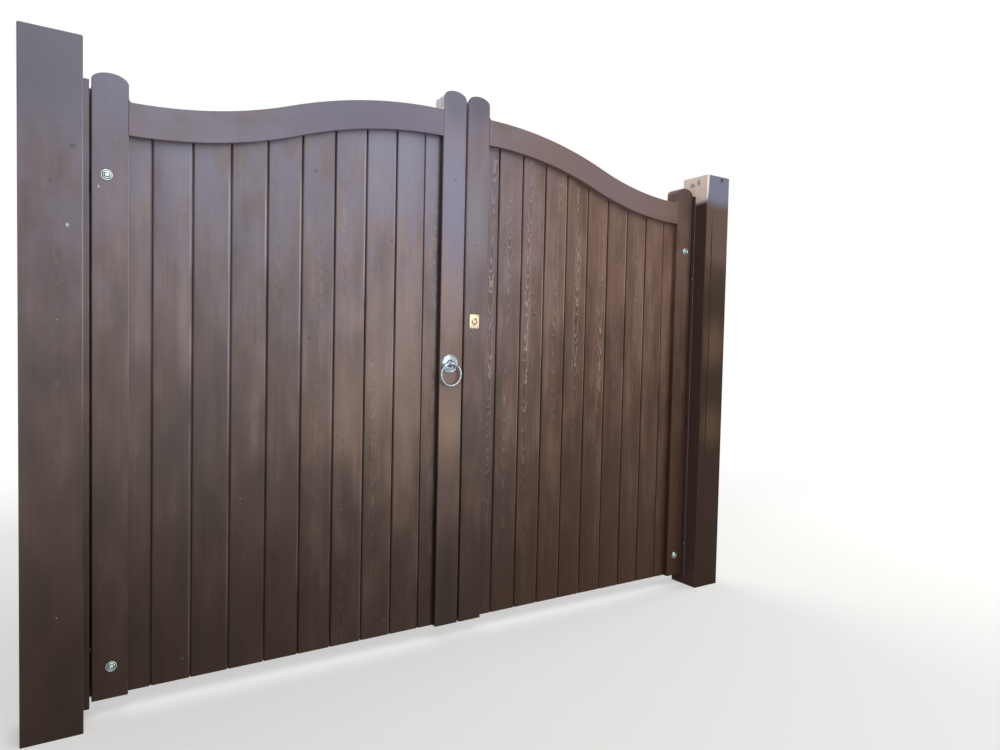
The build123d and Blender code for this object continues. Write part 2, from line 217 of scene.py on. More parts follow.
# %% Build the growth ring group
rings, ring_in, ring_out = new_group(
    "growth_rings", {"Place": "Vector", "Seed": "Float", "Knot": "Float"},
    {"Line": "Float", "Shifted": "Vector"})
seed_step = (3.17, 1.73, 7.31)
rings_per_metre = 190.0
seed_shift = rings.vector("SCALE", {0: seed_step, "Scale": ring_in["Seed"]})
shifted = rings.vector("ADD", {0: ring_in["Place"], 1: seed_shift})
wander = rings.split(rings.noise(shifted, 2.2, 0.8, output=1))
lot = rings.split(rings.place("TexWhiteNoise", {"noise_dimensions": "1D"},
                              {"W": ring_in["Seed"]})["Color"])
plank_x, plank_y, plank_z = rings.split(ring_in["Place"])
sideways = rings.times_plus(lot[0], 0.04, plank_x)
sideways = rings.times_plus(wander[0], 0.06, sideways)
sideways = rings.math("SUBTRACT", sideways, 0.05)
deep = rings.times_plus(lot[1], 0.02, plank_y)
deep = rings.times_plus(wander[1], 0.03, deep)
away = rings.math("SQRT", rings.math("ADD", rings.times(sideways, sideways),
                                     rings.times(deep, deep)))
taper = rings.times_plus(lot[2], -0.05, -0.05)
away = rings.times_plus(plank_z, taper, away)
ripple = rings.noise(shifted, 22.0, 13.0)
away = rings.times_plus(ripple, 0.017, away)
raggedness = rings.noise(shifted, 95.0, 30.0)
away = rings.times_plus(raggedness, 0.0045, away)
away = rings.times_plus(ring_in["Knot"], 0.012, away)
year = rings.math("FRACT", rings.times(away, rings_per_metre))
summer_line = rings.times(rings.ramp(year, 0.66, 0.9), rings.ramp(year, 0.92, 1.0, 1.0, 0.0))
flat_cut = rings.ramp(rings.math("ABSOLUTE", sideways), 0.008, 0.024, 1.0, 0.08)
rings.fill(ring_out["Line"], rings.times(summer_line, flat_cut))
rings.fill(ring_out["Shifted"], shifted)
print("growth_rings has", len(rings.tree.nodes), "nodes")

# %% [markdown]
# ## Stained softwood
#
# The stain soaks into the soft spring wood and stays lighter on the hard summer
# lines, so the rings show pale on dark brown. The group lays these layers one
# over another: large clouds where the brush laid more stain, long streaks,
# fine fibres, the pale ring lines, a few knots that push the rings aside, and
# rare pale chips. Where is the place on the whole gate. The upper part is
# lighter and rougher. It is partly greyed by sun and rain and partly a painted
# sheen of sky reflection, which is cool grey on the left leaf. Towards the foot
# the colour is painted darker, as painted shade. The left leaf has kept more of
# its finish: it is glossier, with stronger clouds, and the right leaf shows
# more bare grain.

# %% Build the stained softwood group
wood, wood_in, wood_out = new_group(
    "stained_softwood",
    {"Place": "Vector", "Where": "Vector", "Seed": "Float", "Tone": "Float",
     "Figure": "Float", "Knots": "Float", "Grain": "Float"},
    {"Colour": "Color", "Roughness": "Float", "Gloss": "Float", "Relief": "Float"})
face_x, _, face_z = wood.split(wood_in["Place"])
face = wood.place("CombineXYZ", None, {
    "X": wood.times_plus(wood_in["Seed"], 0.71, face_x),
    "Y": wood.times_plus(wood_in["Seed"], 1.37, face_z)})[0]


def scattered(scale):
    """Spots strewn over the face: how far each point is from one, and its lot."""
    cells = wood.place("TexVoronoi", {"voronoi_dimensions": "2D"},
                           {"Vector": face, "Scale": scale})
    return cells["Distance"], wood.split(cells["Color"])


knot_far, knot_lot = scattered(3.4)
knot_size = wood.times_plus(knot_lot[0], 0.022, 0.014)
knot_size = wood.times(knot_size, wood.math("GREATER_THAN", knot_lot[1], 0.86))
knot_size = wood.times(knot_size, wood_in["Knots"])
knot_edge = wood.noise(wood_in["Place"], 110.0, 60.0)
knot_far = wood.times_plus(knot_edge, 0.03, knot_far)
knot_far = wood.math("SUBTRACT", knot_far, 0.015)
knot = wood.ramp(wood.math("SUBTRACT", knot_far, knot_size), -0.01, 0.014, 1.0, 0.0)
knot_pull = wood.ramp(knot_far, 0.0, wood.times(knot_size, 6.0), 1.0, 0.0)

slice_rings = wood.place("Group", {"node_tree": rings.tree}, {
    "Place": wood_in["Place"], "Seed": wood_in["Seed"], "Knot": knot_pull})
wood_place = slice_rings["Shifted"]
cloud = wood.noise(wood_place, 13.0, 4.6, 3.0)
patch = wood.noise(wood_place, 14.0, 1.8)
band = wood.noise(wood_place, 48.0, 3.0)
streak = wood.noise(wood_place, 150.0, 2.6)
fibre = wood.noise(wood_place, 620.0, 9.0)

grain = wood.times_plus(streak, 0.65, wood.times(fibre, 0.3))
grain = wood.times_plus(band, 0.75, wood.math("SUBTRACT", grain, 0.85))
gate_x, _, gate_z = wood.split(wood_in["Where"])
kept = wood.ramp(gate_x, 1.2, 2.0, 1.0, 0.0)
cloudiness = wood.times_plus(kept, 0.5, 0.7)
shade = wood.times_plus(wood.math("SUBTRACT", cloud, 0.5), cloudiness, 0.38)
grain = wood.times(grain, wood.times_plus(kept, -0.3, 1.0))
shade = wood.times_plus(grain, wood_in["Grain"], shade)
shade = wood.times_plus(wood_in["Tone"], 0.3, shade)
stain = wood.place("ValToRGB", None, {"Fac": shade})[0]
stain_steps = stain.node.color_ramp.elements
stain_steps.new(0.5)
for step, brown in zip(stain_steps, ((0.044, 0.021, 0.013), (0.105, 0.053, 0.034),
                                     (0.226, 0.132, 0.093))):
    step.color = (*brown, 1)
line_share = wood.times(slice_rings["Line"], wood_in["Figure"])
line_share = wood.times(line_share, wood.ramp(patch, 0.33, 0.58, 0.15, 1.0))
crisp = wood.ramp(gate_z, 0.5, 1.2, 0.25, 1.0)
line_share = wood.times(line_share, wood.math("MAXIMUM", crisp, kept))
colour = wood.blend(line_share, stain, (0.48, 0.38, 0.34))

# Lighter and rougher towards the top: weathering by sun and rain, and a painted sheen of sky
# reflection that is cool grey on the left leaf.
weather = wood.times_plus(cloud, 0.7, gate_z)
cool = wood.noise(wood_place, 15.0, 7.0)
bleach_and_sheen = wood.ramp(weather, 1.1, 2.3, 0.0, 0.6)
bleach_and_sheen = wood.times(bleach_and_sheen, wood.times_plus(kept, 0.4, 0.6))
bleach_and_sheen = wood.times(bleach_and_sheen, wood.ramp(cool, 0.35, 0.6, 0.55, 1.3))
sun_grey_and_sheen = wood.blend(kept, (0.215, 0.13, 0.108), (0.122, 0.107, 0.164))
colour = wood.blend(bleach_and_sheen, colour, sun_grey_and_sheen)
# Painted shade: the colour darkens towards the foot.
foot_shade_brown = wood.blend(kept, (0.043, 0.018, 0.009), (0.025, 0.012, 0.007))
colour = wood.blend(wood.ramp(weather, 0.5, 1.8, 0.85, 0.0), colour, foot_shade_brown)
colour = wood.blend(wood.times(knot, 0.55), colour, (0.022, 0.013, 0.01))

chip_far, chip_lot = scattered(6.0)
chip = wood.ramp(chip_far, 0.008, 0.012, 1.0, 0.0)
chip = wood.times(chip, wood.math("GREATER_THAN", chip_lot[0], 0.86))
colour = wood.blend(wood.times(chip, 0.7), colour, (0.42, 0.37, 0.34))
wood.fill(wood_out["Colour"], colour)

rough = wood.times_plus(fibre, 0.16, 0.28)
rough = wood.times_plus(bleach_and_sheen, 0.12, rough)
rough = wood.times_plus(chip, 0.3, rough)
wood.fill(wood_out["Roughness"], rough)
foot_gloss = wood.ramp(gate_z, 0.2, 1.0, 0.25, 1.0)
wood.fill(wood_out["Gloss"], wood.times(kept, foot_gloss))
relief = wood.times_plus(line_share, 0.5, wood.times(fibre, 0.6))
relief = wood.times_plus(streak, 0.4, relief)
relief = wood.times_plus(chip, -0.8, relief)
wood.fill(wood_out["Relief"], relief)
print("stained_softwood has", len(wood.tree.nodes), "nodes")

# %% [markdown]
# ## One finish for each piece of timber
#
# Every stile, rail and post is a plank of its own, so each gets its own
# material: the same group with another seed. A Mapping node moves the pattern
# to the middle of the piece and turns its Z axis along the grain. The satin
# stain is the shader's plain roughness, with a thin coat where the finish is
# kept, and a small bump for the raised grain. A mark is a soft round spot of
# another colour at one place. Marks are knots, chips and cracks, and patches
# of painted shade, painted sunlight and painted reflection.

# %% Write the timber finish
def timber(name, middle, seed, turn=(0, 0, 0), tone=0.0, figure=0.2, knots=1.0, grain=1.0,
           marks=(), shine=0.2):
    """A stained softwood material, with its grain along Z before the turn."""
    material, bench, shader = new_material(name)
    where = bench.where()
    on_piece = bench.mapped({"Vector": where, "Location": middle, "Rotation": turn})
    look = bench.place("Group", {"node_tree": wood.tree}, {
        "Place": on_piece, "Where": where, "Seed": seed, "Tone": tone, "Figure": figure,
        "Knots": knots, "Grain": grain})
    colour = look["Colour"]
    for centre, radii, mark_colour, *core in marks:
        colour = bench.blend(bench.spot(where, centre, radii, *core), colour, mark_colour)
    bench.fill_all(shader, {
        "Base Color": colour, "Roughness": look["Roughness"], "Coat Weight": look["Gloss"],
        "Normal": bench.bump(0.4, 0.0006, look["Relief"]), "Coat Roughness": 0.3,
        "Specular IOR Level": shine})
    return material


def dress(node_name, material):
    """Gives a CAD node its finish."""
    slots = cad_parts[node_name].data.materials
    slots.clear()
    slots.append(material)


def middle_of(node_name):
    """The middle of a CAD node."""
    low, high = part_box(node_name)
    return (low + high) / 2


knot_brown = (0.05, 0.036, 0.034)
# Near black, for the cracks and for painted shade in a deep step.
crack_and_shade_black = (0.01, 0.006, 0.004)
pale_chip = (0.45, 0.41, 0.39)
print("timber finish ready")

# %% [markdown]
# ## Posts, stiles and cover strips
#
# Upright pieces keep the pattern's Z axis. A few knots, chips and cracks are
# placed where the real gate has them, on the posts, the stiles and the top rails,
# with patches of painted light beside them: painted sky reflection high up,
# painted shade, painted sunlight and a painted highlight. Each is written as its
# centre, its radii, its colour and the share of it that is full. At its top the
# right post has a painted sky reflection on its front and a painted pool of
# sunlight on its left face, and it has three long drying cracks. The cover
# strips behind the hinge gaps have one plain finish for each side.

# %% Dress the upright timber
placed_marks = {
    "left_post": [
        # Painted sky reflection: a cool patch over the top of the post.
        ((0.0, -0.075, 1.92), (0.3, 0.03, 0.36), (0.068, 0.06, 0.09), 0.2),
        ((0.05, -0.075, 1.64), (0.01, 0.02, 0.007), knot_brown),
        ((-0.002, -0.075, 1.54), (0.006, 0.02, 0.008), knot_brown),
        ((0.038, -0.075, 1.425), (0.005, 0.02, 0.006), pale_chip),
    ],
    "right_post": [
        # Painted light on the front: painted shade over the lower part, and lighter bands and
        # patches of painted light above.
        ((2.64, -0.075, 0.7), (0.3, 0.03, 1.0), (0.039, 0.023, 0.016), 0.65),
        ((2.64, -0.075, 1.74), (0.3, 0.03, 0.26), (0.098, 0.064, 0.046), 0.6),
        ((2.64, -0.075, 1.16), (0.12, 0.03, 0.17), (0.092, 0.054, 0.033), 0.1),
        ((2.64, -0.075, 0.77), (0.12, 0.03, 0.15), (0.08, 0.047, 0.029), 0.1),
        # Painted shade: the post's left face has a colour of its own, as it looks in shade.
        ((2.565, 0.0, 0.95), (0.004, 0.3, 2.0), (0.07, 0.042, 0.038)),
        # Painted sky reflection at the top of the front, and a painted pool of sunlight at the
        # top of the left face, with two soft spots at its lower edge.
        ((2.65, -0.08, 1.98), (0.3, 0.03, 0.21), (0.15, 0.153, 0.208), 0.65),
        ((2.56, 0.0, 1.98), (0.02, 0.3, 0.185), (0.78, 0.65, 0.57), 0.85),
        ((2.565, 0.015, 1.905), (0.01, 0.022, 0.016), (0.28, 0.22, 0.17), 0.0),
        ((2.565, -0.022, 1.912), (0.01, 0.016, 0.024), (0.3, 0.22, 0.18), 0.0),
        ((2.662, -0.075, 1.927), (0.013, 0.02, 0.014), knot_brown, 0.3),
        ((2.604, -0.075, 1.56), (0.0035, 0.02, 0.24), crack_and_shade_black),
        ((2.606, -0.075, 1.18), (0.0035, 0.02, 0.28), crack_and_shade_black),
        ((2.603, -0.075, 0.82), (0.0035, 0.02, 0.24), crack_and_shade_black),
    ],
    "right_packer": [
        # Painted shade over the packer, and a painted highlight along its front edge.
        ((2.556, -0.02, 0.95), (0.02, 0.3, 2.2), (0.044, 0.025, 0.022), 0.6),
        ((2.5645, -0.02, 0.95), (0.0035, 0.3, 2.2), (0.19, 0.145, 0.135), 0.5),
    ],
    "left_hinge_stile": [
        # Painted sky reflection: a cool patch at the top of the stile.
        ((0.145, -0.007, 1.9), (0.1, 0.02, 0.36), (0.105, 0.098, 0.155), 0.0),
        ((0.115, -0.007, 1.552), (0.0025, 0.01, 0.006), pale_chip),
    ],
    "right_hinge_stile": [
        ((2.51, -0.007, 1.86), (0.12, 0.02, 0.22), (0.085, 0.052, 0.044), 0.2),
        # Painted shade along the stile's edge beside the gap to the packer.
        ((2.545, -0.007, 1.0), (0.036, 0.02, 1.6), (0.034, 0.02, 0.015), 0.1),
    ],
    "left_meeting_stile": [
        # Painted sky reflection high up with a darker cool patch at the very top, a lighter warm
        # patch of painted reflection lower down, and painted shade at the foot.
        ((1.27, -0.007, 1.66), (0.1, 0.02, 0.44), (0.15, 0.138, 0.208), 0.0),
        ((1.27, -0.007, 2.05), (0.1, 0.04, 0.2), (0.07, 0.066, 0.11), 0.2),
        ((1.27, -0.007, 0.82), (0.1, 0.02, 0.14), (0.205, 0.13, 0.09), 0.0),
        ((1.27, -0.007, 0.2), (0.1, 0.02, 0.45), (0.03, 0.016, 0.01), 0.0),
        ((1.274, -0.007, 1.742), (0.005, 0.01, 0.005), knot_brown),
        ((1.274, -0.007, 1.506), (0.004, 0.01, 0.004), knot_brown),
        # Painted shade on the stile's side face, in the step beside the boards.
        ((1.2205, 0.008, 1.0), (0.003, 0.02, 1.4), crack_and_shade_black),
    ],
    "right_meeting_stile": [
        # Painted sky reflection on the upper part, with a darker cool patch at the very top.
        ((1.366, -0.007, 1.6), (0.1, 0.02, 0.32), (0.155, 0.125, 0.145), 0.0),
        ((1.366, -0.007, 2.06), (0.1, 0.04, 0.18), (0.062, 0.047, 0.073), 0.2),
        ((1.366, -0.007, 1.506), (0.004, 0.01, 0.006), knot_brown),
    ],
    "left_top_rail": [
        # Painted sky reflection: a cool patch along the rail's rise.
        ((0.9, -0.007, 1.93), (0.5, 0.05, 0.4), (0.071, 0.052, 0.093), 0.1),
    ],
    "right_top_rail": [
        # Painted reflection: a lighter patch along the rail.
        ((2.0, -0.007, 1.83), (0.6, 0.05, 0.35), (0.155, 0.102, 0.101), 0.2),
    ],
}
# Seed, tone and figure of each upright piece. The high tone of the left meeting stile is painted
# reflection, and the low tones of the right post and its packer are painted shade.
upright_looks = {
    "left_post": (2.3, -0.5, 0.06), "right_post": (5.1, -1.6, 0.06),
    "left_hinge_stile": (7.7, 0.4, 0.03), "right_hinge_stile": (11.2, -0.3, 0.05),
    "left_meeting_stile": (13.9, 2.1, 0.03), "right_meeting_stile": (17.4, 0.3, 0.1),
    "left_packer": (19.6, -0.3, 0.03), "right_packer": (23.5, -1.3, 0.03),
}
sides = ("left", "right")
for name, (seed, tone, figure) in upright_looks.items():
    dress(name, timber(name + "_timber", middle_of(name), seed, tone=tone, figure=figure,
                       grain=0.7, marks=placed_marks.get(name, ()),
                       shine=0.03 if name.startswith("right_p") else 0.2))
for number, side in enumerate(sides):
    strip = timber(side + "_cover_timber", middle_of(side + "_middle_cover"), 27.1 + number,
                   tone=-0.2, figure=0.1)
    for height in ("lower", "middle", "upper"):
        dress(f"{side}_{height}_cover", strip)
print("upright pieces:", len(upright_looks))

# %% [markdown]
# ## Rails, ledges and braces
#
# Rails and ledges lie along the gate, so their pattern is turned a quarter
# round Y, and each brace is turned to its own slope. A top rail is sawn from a
# quiet plank, so it shows no knots and hardly any figure.

# %% Dress the rails, ledges and braces
quarter_turn = math.pi / 2
for number, side in enumerate(sides):
    seed = 31.0 + 8.3 * number
    rail = side + "_top_rail"
    dress(rail, timber(rail + "_timber", middle_of(rail), seed, (0, quarter_turn, 0),
                       0.0, 0.03, 0.0, 0.35, placed_marks[rail]))
    for step, part in enumerate(("bottom", "middle", "upper")):
        ledge = f"{side}_{part}_ledge"
        dress(ledge, timber(ledge + "_timber", middle_of(ledge), seed + 1.7 * step + 1,
                            (0, quarter_turn, 0), -0.2, 0.3))
    for part in ("lower", "upper"):
        brace = f"{side}_{part}_brace"
        low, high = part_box(brace)
        slope = math.atan2(high.z - low.z, high.x - low.x) * (1 if side == "left" else -1)
        dress(brace, timber(brace + "_timber", middle_of(brace), seed + 6 + len(part),
                            (0, quarter_turn - slope, 0), -0.2, 0.3))
print("level and sloping pieces dressed")

# %% [markdown]
# ## Making pieces from meshes
#
# New pieces are made with bmesh, Blender's mesh workshop. A helper turns a
# finished bmesh into an object, lets it ride on its CAD body, and gives it the
# material of its finish. Edges sharper than 30 degrees are marked sharp, so
# that round faces shade smoothly and corners stay crisp. The right leaf mirrors
# the left one, about the middle between the posts.

# %% Helpers for mesh pieces
post_spacing = 2.64
sharp_angle = math.radians(30)
facing_street = Matrix.Rotation(math.pi / 2, 4, "X")
facing_garden = Matrix.Rotation(-math.pi / 2, 4, "X")


def finish_piece(name, shape, body, finish, replaces=()):
    """Turns a bmesh into a piece of the gate, with the material of its finish."""
    bmesh.ops.recalc_face_normals(shape, faces=shape.faces)
    for face in shape.faces:
        face.smooth = True
    for edge in shape.edges:
        edge.smooth = edge.is_manifold and edge.calc_face_angle(0) < sharp_angle
    mesh = bpy.data.meshes.new(name)
    shape.to_mesh(mesh)
    shape.free()
    material, slot = finish
    mesh.materials.append(material)
    piece = show(name, mesh)
    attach(piece, body)
    if replaces:
        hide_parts(*replaces)
    return piece


def across(point):
    """The same point on the other leaf."""
    return Vector((post_spacing - point[0], point[1], point[2]))


def on_leaf(side, x, y, z):
    """A place on the left leaf, or the same place on the right one."""
    here = Vector((x, y, z))
    return here if side == "left" else across(here)


def only(kind, parts):
    """The parts of one kind, from what an operator gives back."""
    return [part for part in parts if isinstance(part, kind)]


def push(shape, faces, by):
    """Extrudes faces along a vector, and gives back the part that moved."""
    moved = bmesh.ops.extrude_face_region(shape, geom=faces)["geom"]
    bmesh.ops.translate(shape, verts=only(bmesh.types.BMVert, moved), vec=by)
    return moved


def round_edges(shape, edges, offset, segments):
    """Rounds these edges."""
    bmesh.ops.bevel(shape, geom=edges, offset=offset, affect="EDGES", segments=segments,
                    profile=0.5, material=-1)


print("mesh helpers ready")

# %% [markdown]
# ## The swan neck
#
# The top rail rises in a hollow arc, then in a round one, and the two meet
# where their slopes are the same. Their radii follow from the rise and the run.
# The boards end on a parallel of that line, inside the rail's groove.

# %% Draw the line that the boards end on
leaf_foot = 0.055
panel_start, panel_end = 0.192, 1.221
neck_low, neck_rise, hollow_run = 1.805, 0.184, 0.463
neck_angle = 2 * math.atan2(neck_rise, panel_end - panel_start)
hollow_radius = hollow_run / math.sin(neck_angle)
crest_radius = (panel_end - panel_start - hollow_run) / math.sin(neck_angle)
board_drop = 0.084


def board_top(x):
    """The height of the boards' upper end, inside the groove of the top rail."""
    x = min(max(x, panel_start), panel_end)
    low = neck_low + hollow_radius
    if x - panel_start < hollow_run:
        return low - math.sqrt((hollow_radius + board_drop) ** 2 - (x - panel_start) ** 2)
    high = neck_low + neck_rise - crest_radius
    return high + math.sqrt((crest_radius - board_drop) ** 2 - (panel_end - x) ** 2)


print("boards rise from", round(board_top(0.2), 3), "to", round(board_top(1.2), 3))

# %% [markdown]
# ## The boards' finish
#
# All twenty boards share one material. Each board carries two attributes: its
# own place, measured from its middle, and its kind, which is its seed, tone and
# figure. A few patches lie across the boards. Cool pale ones high on the left
# leaf are painted sky reflection, light ones near its meeting stile are painted
# reflection, and dark ones lower down and a dark strip beside the meeting stile
# are painted shade. The two edges of a board are treated apart: stain gathers
# in the corner that faces left and darkens the joint, and the corner that faces
# right gets a pale painted highlight.

# %% The board's material
board_face, board_thick = 0.017, 0.02
boards_timber = timber("boards_timber", (0, 0, 0), 0.0)
bench = Bench(boards_timber.node_tree)
look = next(n for n in bench.tree.nodes if n.type == "GROUP")
board_place = bench.place("Attribute", {"attribute_name": "board_place"})["Vector"]
board_kind = bench.place("Attribute", {"attribute_name": "board_kind"})["Vector"]
bench.fill(look.inputs["Place"], board_place)
for label, socket in zip(("Seed", "Tone", "Figure"), bench.split(board_kind)):
    bench.fill(look.inputs[label], socket)

where = bench.where()
colour = look.outputs["Colour"]
# Where along the gate and how high, how wide and tall, how strong, and its colour
for (x, z), (wide, tall), share, patch_colour in (
    ((0.225, 1.22), (0.05, 0.25), 0.3, (0.2, 0.125, 0.1)),
    ((0.345, 1.2), (0.03, 0.3), 0.6, (0.19, 0.135, 0.12)),
    # Painted sky reflection: cool pale patches high on the left leaf.
    ((0.34, 1.72), (0.14, 0.3), 0.5, (0.16, 0.145, 0.2)),
    ((1.07, 1.8), (0.3, 0.38), 0.8, (0.158, 0.146, 0.208)),
    # Painted shade: dark patches lower on the left leaf.
    ((0.37, 0.82), (0.19, 0.38), 0.55, (0.028, 0.018, 0.015)),
    ((0.65, 0.78), (0.07, 0.36), 0.5, (0.034, 0.019, 0.013)),
    # Painted reflection: light patches near the meeting stiles.
    ((1.07, 1.06), (0.17, 0.42), 0.6, (0.22, 0.148, 0.118)),
    ((0.87, 0.92), (0.17, 0.26), 0.55, (0.22, 0.14, 0.105)),
    ((1.1, 0.85), (0.06, 0.1), 0.4, (0.24, 0.16, 0.115)),
    ((1.375, 0.84), (0.01, 0.16), 0.7, (0.3, 0.2, 0.14)),
    # Painted shade: a dark strip beside the left meeting stile, in its step.
    ((1.219, 1.0), (0.008, 3.0), 0.9, (0.01, 0.006, 0.004)),
):
    mask = bench.spot(where, (x, board_face, z), (wide, 0.05, tall), 0.0)
    colour = bench.blend(bench.times(mask, share), colour, patch_colour)
board_x, _, board_z = bench.split(board_place)
# Painted highlight: the corner that faces right is pale and patchy, weaker low down, bluish on
# the left leaf and warm on the right, and a fifth of it reaches the corner that faces left.
right_edge = bench.ramp(board_x, 0.0465, 0.0505)
left_edge = bench.ramp(board_x, -0.0485, -0.0515)
colour = bench.blend(bench.times(left_edge, 0.8), colour, (0.03, 0.017, 0.012))
worn = bench.math("MAXIMUM", right_edge, bench.times(left_edge, 0.2))
worn = bench.times(worn, bench.ramp(bench.noise(where, 9.0, 2.5), 0.38, 0.6, 0.0, 0.8))
worn = bench.times(worn, bench.ramp(board_z, -0.3, 0.3, 0.2, 1.0))
on_right = bench.ramp(bench.split(where)[0], 1.2, 1.45)
edge_highlight_colour = bench.blend(on_right, (0.27, 0.225, 0.24), (0.28, 0.17, 0.125))
coat = bench.times(look.outputs["Gloss"], bench.times_plus(left_edge, -0.9, 1.0))
bench.fill_all(bench.tree.nodes["Principled BSDF"], {
    "Base Color": bench.blend(worn, colour, edge_highlight_colour), "Coat Weight": coat})
print("the boards share one material with", len(bench.tree.nodes), "nodes")

# %% [markdown]
# ## The boards
#
# Each leaf is filled with ten upright boards. A board has a tongue on one edge
# and a groove in the other, and its two front corners are taken off, so that a
# V shows at each joint. The outline of the board is drawn once as a few points
# at the foot and pushed up past its full height, as a moulding is cut. Its top
# is sawn along the slope of the swan neck, inside the rail's groove. The front
# corners are then rounded, because the round edge is what catches a thin line
# of light down each joint.

# %% Saw the boards
uncut_length = 2.0
corner_round = 0.0038
tongue_reach, tongue_near, tongue_far = 0.007, 0.008, 0.013
groove_reach, groove_near, groove_far = 0.008, 0.0075, 0.0135


def saw_board(start, end, tongue, groove):
    """One board from its outline at the foot to its sloping top."""
    front, back = board_face, board_face + board_thick
    outline = [(start, front), (end, front)]
    if tongue:
        tip, near, far = end + tongue_reach, front + tongue_near, front + tongue_far
        outline += [(end, near), (tip, near), (tip, far), (end, far)]
    outline += [(end, back), (start, back)]
    if groove:
        bed, near, far = start + groove_reach, front + groove_near, front + groove_far
        outline += [(start, far), (bed, far), (bed, near), (start, near)]
    board = bmesh.new()
    foot = board.faces.new([board.verts.new((x, y, leaf_foot)) for x, y in outline])
    push(board, [foot], (0, 0, uncut_length))
    at, to = board_top(start), board_top(end)
    slope = Vector((at - to, 0, end - start)).normalized()
    cut = bmesh.ops.bisect_plane(
        board, geom=board.verts[:] + board.edges[:] + board.faces[:],
        plane_co=(start, 0, at), plane_no=slope, clear_outer=True,
    )
    bmesh.ops.contextual_create(board, geom=only(bmesh.types.BMEdge, cut["geom_cut"]))
    return board


def round_corners(board, corners):
    """Takes off the upright front corners at these places along the gate."""
    upright = [
        edge for edge in board.edges
        if all(abs(v.co.y - board_face) < 1e-6 for v in edge.verts)
        and abs(edge.verts[0].co.x - edge.verts[1].co.x) < 1e-6
        and any(abs(edge.verts[0].co.x - x) < 1e-4 for x in corners)
    ]
    round_edges(board, upright, corner_round, 4)


print("saw ready")

# %% [markdown]
# The boards differ as the real ones do. On the left leaf the stain hides most
# of the figure, and on the right leaf pale arches show on the boards near the
# middle. The left leaf's boards near its meeting stile are written lighter, as
# painted reflection. Each row of numbers below is one board, from the hinge
# side: its seed, how light it is, and how strongly its rings show.

# %% Fill both leaves with boards
board_looks = {
    "left": [
        (3.1, 0.1, 0.05), (8.4, 0.0, 0.04), (12.7, -0.2, 0.04), (16.2, 0.1, 0.05),
        (21.9, 0.0, 0.12), (26.3, 0.3, 0.22), (33.8, 0.6, 0.26), (41.5, 1.2, 0.3),
        (47.2, 1.4, 0.3), (52.6, 0.9, 0.35),
    ],
    "right": [
        (58.3, 0.35, 0.15), (63.9, 0.5, 0.15), (69.4, 0.4, 0.2), (74.8, 0.1, 0.25),
        (79.5, 0.3, 0.5), (85.1, 0.2, 0.75), (90.6, 0.4, 0.35), (96.2, 0.4, 0.9),
        (101.7, 0.4, 0.7), (107.3, -0.1, 0.9),
    ],
}
board_cover, edge_board, seat, half_gap = 0.113, 0.0625, 0.011, 0.0016
last = len(board_looks["left"]) - 1
joints = [panel_start + edge_board + number * board_cover for number in range(last)]
starts = [panel_start - seat] + [x + half_gap for x in joints]
ends = [x - half_gap for x in joints] + [panel_end + seat]
for side, looks in board_looks.items():
    for number, (start, end) in enumerate(zip(starts, ends)):
        board = saw_board(start, end, tongue=number < last, groove=number > 0)
        round_corners(board, starts[1:] + ends[:-1])
        middle = on_leaf(side, (start + end) / 2, board_face, 1.0)
        if side == "right":
            for vertex in board.verts:
                vertex.co = across(vertex.co)
        piece = finish_piece(f"{side}_board_{number + 1}", board, side + "_leaf",
                             (boards_timber, "stained_timber"), [side + "_boards"])
        mesh = piece.data
        places = [c for v in mesh.vertices for c in v.co - middle]
        kinds = list(looks[number]) * len(mesh.vertices)
        for label, values in (("board_place", places), ("board_kind", kinds)):
            carried = mesh.attributes.new(label, "FLOAT_VECTOR", "POINT")
            carried.data.foreach_set("vector", values)
print(len(starts), "boards in each leaf")

# %% [markdown]
# ## Metal finishes
#
# Metal that lives outdoors is never even. The group mixes a bright and a dull
# colour by soft clouds, and adds fine scratches and shallow dents. Four
# finishes use it: the bright plating of the handle, the milky zinc of the bolts
# and screws, polished brass, and the black paint of the hinges. Each small piece
# carries a value on its points, from 0 to 1, that turns the metal dark brown and
# rough: grime on the screws behind the leaf, and grime and painted shade in
# grooves and recesses.

# %% Build the metal group and its finishes
weathered, metal_in, metal_out = new_group(
    "weathered_metal",
    {"Place": "Vector", "Bright": "Color", "Dull": "Color", "Smooth": "Float",
     "Rough": "Float", "Size": "Float"},
    {"Colour": "Color", "Roughness": "Float", "Relief": "Float"})
sized = weathered.vector("SCALE", {
    0: metal_in["Place"], "Scale": weathered.math("DIVIDE", 1.0, metal_in["Size"])})
clouds = weathered.noise(sized, 1, 1, 4.0, 0.6)
scratches = weathered.noise(sized, 14, 1.2)
dullness = weathered.ramp(clouds, 0.38, 0.66)
weathered.fill(metal_out["Colour"],
               weathered.blend(dullness, metal_in["Bright"], metal_in["Dull"]))
span = weathered.math("SUBTRACT", metal_in["Rough"], metal_in["Smooth"])
wear = weathered.times_plus(scratches, 0.35, weathered.times(dullness, 0.7))
weathered.fill(metal_out["Roughness"], weathered.times_plus(span, wear, metal_in["Smooth"]))
weathered.fill(metal_out["Relief"], weathered.times_plus(scratches, 0.2, clouds))
dirt_and_shade_brown = (0.045, 0.035, 0.028)


